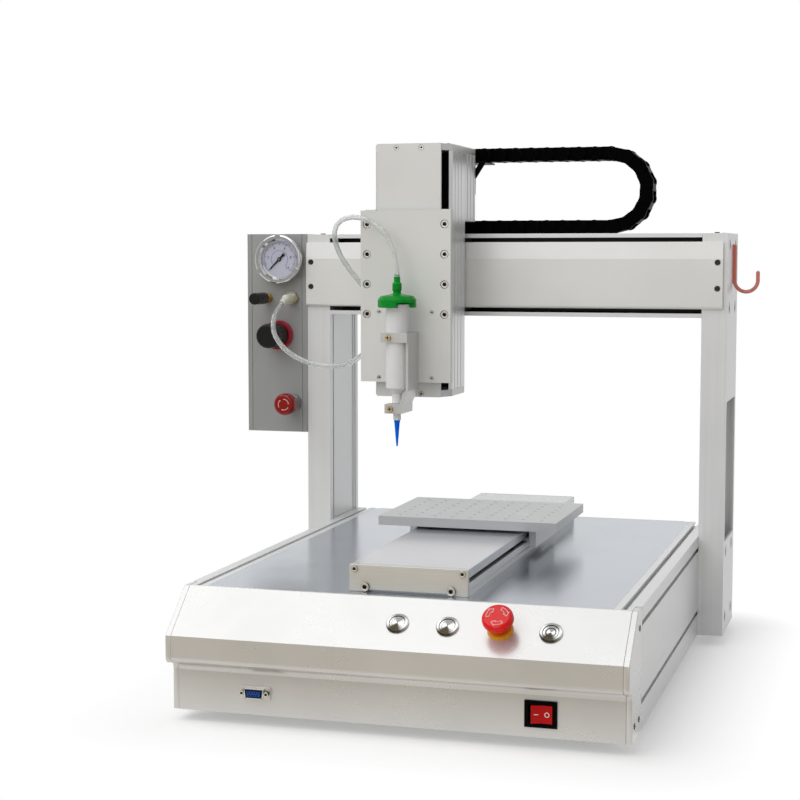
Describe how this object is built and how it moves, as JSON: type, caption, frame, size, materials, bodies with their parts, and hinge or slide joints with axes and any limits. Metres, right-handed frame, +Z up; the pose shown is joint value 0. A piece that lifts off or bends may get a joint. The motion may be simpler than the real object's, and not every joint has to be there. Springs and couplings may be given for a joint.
{
  "type": "desktop dispensing robot",
  "caption": "Desktop gantry robot that dispenses from a clamped syringe over a sliding drilled table, with enclosed belt and screw axes, a drag chain and an air control box.",
  "frame": {"origin": "middle of the base's footprint, on the floor", "axes": "+X to the user's right, +Y from the front panel to the gantry, +Z up"},
  "size_m": [0.6228, 0.611, 0.5883],
  "materials": {
    "white_enamel": "satin enamel",
    "pale_enamel": "satin enamel",
    "grey_enamel": "satin enamel",
    "pink_enamel": "gloss enamel",
    "satin_cover": "satin anodised",
    "aluminium": "anodised extrusion",
    "deck_sheet": "smooth anodised sheet",
    "rail_steel": "ground",
    "polished_steel": "polished",
    "dark_metal": "black lacquer",
    "brass": "turned",
    "black_rubber": "matte",
    "black_plastic": "moulded",
    "red_plastic": "moulded",
    "crimson_plastic": "moulded",
    "blue_plastic": "moulded",
    "green_plastic": "moulded",
    "green_board": "board and housing",
    "clear_plastic": "translucent",
    "clear_glass": "clear"
  },
  "bodies": {
    "base": {"front_panel": "white_enamel", "end_plates": "pale_enamel", "side_rails": "aluminium", "deck_plate": "deck_sheet", "base_tray": "pale_enamel", "rubber_feet": "black_rubber", "control_electronics": "green_board", "panel_sockets": "blue_plastic", "switch_frame": "black_plastic", "button_bezels": "polished_steel", "knob_collars": "crimson_plastic", "columns": "aluminium", "x_beam": "aluminium", "x_cover": "satin_cover", "guide_rails": "rail_steel", "drive_motors": "dark_metal", "drive_belts": "black_rubber", "hook": "pink_enamel", "control_box": "grey_enamel", "gauge_case": "polished_steel", "gauge_lens": "clear_glass", "air_fittings": "brass", "y_body": "aluminium", "y_cover": "satin_cover", "y_end_caps": "satin_cover", "chain_lower_run": "black_plastic", "hose_to_carriage": "clear_plastic"},
    "switch_paddle": {"switch_paddle": "red_plastic"},
    "start_button": {"start_button": "polished_steel"},
    "pause_button": {"pause_button": "polished_steel"},
    "home_button": {"home_button": "polished_steel"},
    "stop_button": {"stop_button": "red_plastic"},
    "gauge_pointer": {"gauge_pointer": "black_plastic"},
    "regulator_knob": {"regulator_knob": "black_plastic"},
    "valve_knob": {"valve_knob": "black_rubber"},
    "box_stop_button": {"box_stop_button": "red_plastic"},
    "x_drive_pulley": {"x_drive_pulley": "aluminium"},
    "x_idler_pulley": {"x_idler_pulley": "aluminium"},
    "y_drive_pulley": {"y_drive_pulley": "aluminium"},
    "y_idler_pulley": {"y_idler_pulley": "aluminium"},
    "z_screw": {"z_screw": "rail_steel"},
    "z_motor_pulley": {"z_motor_pulley": "aluminium"},
    "chain_bend": {"chain_bend": "black_plastic"},
    "y_table": {"y_carriage": "aluminium", "table_plate": "aluminium"},
    "x_axis": {"x_carriage": "aluminium", "z_body": "aluminium", "z_cover": "satin_cover", "z_end_plates": "satin_cover", "z_motor": "dark_metal", "motor_cover": "aluminium", "z_belt": "black_rubber", "chain_upper_run": "black_plastic"},
    "z_axis": {"z_carriage": "aluminium", "z_plate": "satin_cover", "syringe_bracket": "aluminium", "syringe_barrel": "clear_plastic", "receiver_cap": "green_plastic", "dispensing_tip": "blue_plastic", "hose_to_syringe": "clear_plastic"}
  },
  "joints": [
    {"name": "x_slide", "type": "slide", "parent": "base", "child": "x_axis", "axis": [1, 0, 0], "range_m": [-0.05, 0.25], "deforming": ["chain_lower_run", "chain_upper_run", "hose_to_carriage"]},
    {"name": "y_slide", "type": "slide", "parent": "base", "child": "y_table", "axis": [0, 1, 0], "range_m": [-0.21, 0.09]},
    {"name": "z_slide", "type": "slide", "parent": "x_axis", "child": "z_axis", "axis": [0, 0, 1], "range_m": [-0.065, 0.035], "deforming": ["hose_to_syringe"]},
    {"name": "chain_roll", "type": "slide", "parent": "base", "child": "chain_bend", "axis": [1, 0, 0], "range_m": [-0.03, 0.13]},
    {"name": "x_drive_turn", "type": "hinge", "parent": "base", "child": "x_drive_pulley", "pos_m": [0.205, 0.217, 0.434], "axis": [0, 1, 0], "continuous": true},
    {"name": "x_idler_turn", "type": "hinge", "parent": "base", "child": "x_idler_pulley", "pos_m": [-0.205, 0.217, 0.434], "axis": [0, 1, 0], "continuous": true},
    {"name": "y_drive_turn", "type": "hinge", "parent": "base", "child": "y_drive_pulley", "pos_m": [0, 0.246, 0.145], "axis": [0, 0, 1], "continuous": true},
    {"name": "y_idler_turn", "type": "hinge", "parent": "base", "child": "y_idler_pulley", "pos_m": [0, -0.2168, 0.145], "axis": [0, 0, 1], "continuous": true},
    {"name": "z_screw_turn", "type": "hinge", "parent": "x_axis", "child": "z_screw", "pos_m": [-0.1, 0.146, 0.44], "axis": [0, 0, 1], "continuous": true},
    {"name": "z_motor_turn", "type": "hinge", "parent": "x_axis", "child": "z_motor_pulley", "pos_m": [-0.1, 0.209, 0.571], "axis": [0, 0, 1], "continuous": true},
    {"name": "switch_rock", "type": "hinge", "parent": "base", "child": "switch_paddle", "pos_m": [0.142, -0.2793, 0.0344], "axis": [0, 0, 1], "range_deg": [-14, 0]},
    {"name": "start_press", "type": "slide", "parent": "base", "child": "start_button", "axis": [0, 0.6495, -0.7604], "range_m": [0, 0.002], "stiffness_N_per_m": 600},
    {"name": "pause_press", "type": "slide", "parent": "base", "child": "pause_button", "axis": [0, 0.6495, -0.7604], "range_m": [0, 0.002], "stiffness_N_per_m": 600},
    {"name": "home_press", "type": "slide", "parent": "base", "child": "home_button", "axis": [0, 0.6495, -0.7604], "range_m": [0, 0.002], "stiffness_N_per_m": 600},
    {"name": "stop_press", "type": "slide", "parent": "base", "child": "stop_button", "axis": [0, 0.6495, -0.7604], "range_m": [0, 0.004], "stiffness_N_per_m": 1500},
    {"name": "box_stop_press", "type": "slide", "parent": "base", "child": "box_stop_button", "axis": [0, 1, 0], "range_m": [0, 0.004], "stiffness_N_per_m": 1500},
    {"name": "gauge_sweep", "type": "hinge", "parent": "base", "child": "gauge_pointer", "pos_m": [-0.2889, 0.178, 0.4525], "axis": [0, -1, 0], "range_deg": [-270, 0], "stiffness_Nm_per_rad": 0.0005},
    {"name": "regulator_turn", "type": "hinge", "parent": "base", "child": "regulator_knob", "pos_m": [-0.2929, 0.16, 0.359], "axis": [0, -1, 0], "continuous": true},
    {"name": "valve_turn", "type": "hinge", "parent": "base", "child": "valve_knob", "pos_m": [-0.3079, 0.16, 0.4045], "axis": [0, -1, 0], "continuous": true}
  ],
  "couplings": [
    {"joint": "chain_roll", "follows": "x_slide", "ratio": 0.5},
    {"joint": "x_drive_turn", "follows": "x_slide", "rad_per_m": 90.5},
    {"joint": "x_idler_turn", "follows": "x_slide", "rad_per_m": 90.5},
    {"joint": "y_drive_turn", "follows": "y_slide", "rad_per_m": 90.5},
    {"joint": "y_idler_turn", "follows": "y_slide", "rad_per_m": 90.5},
    {"joint": "z_screw_turn", "follows": "z_slide", "rad_per_m": -628.3},
    {"joint": "z_motor_turn", "follows": "z_slide", "rad_per_m": -628.3}
  ]
}
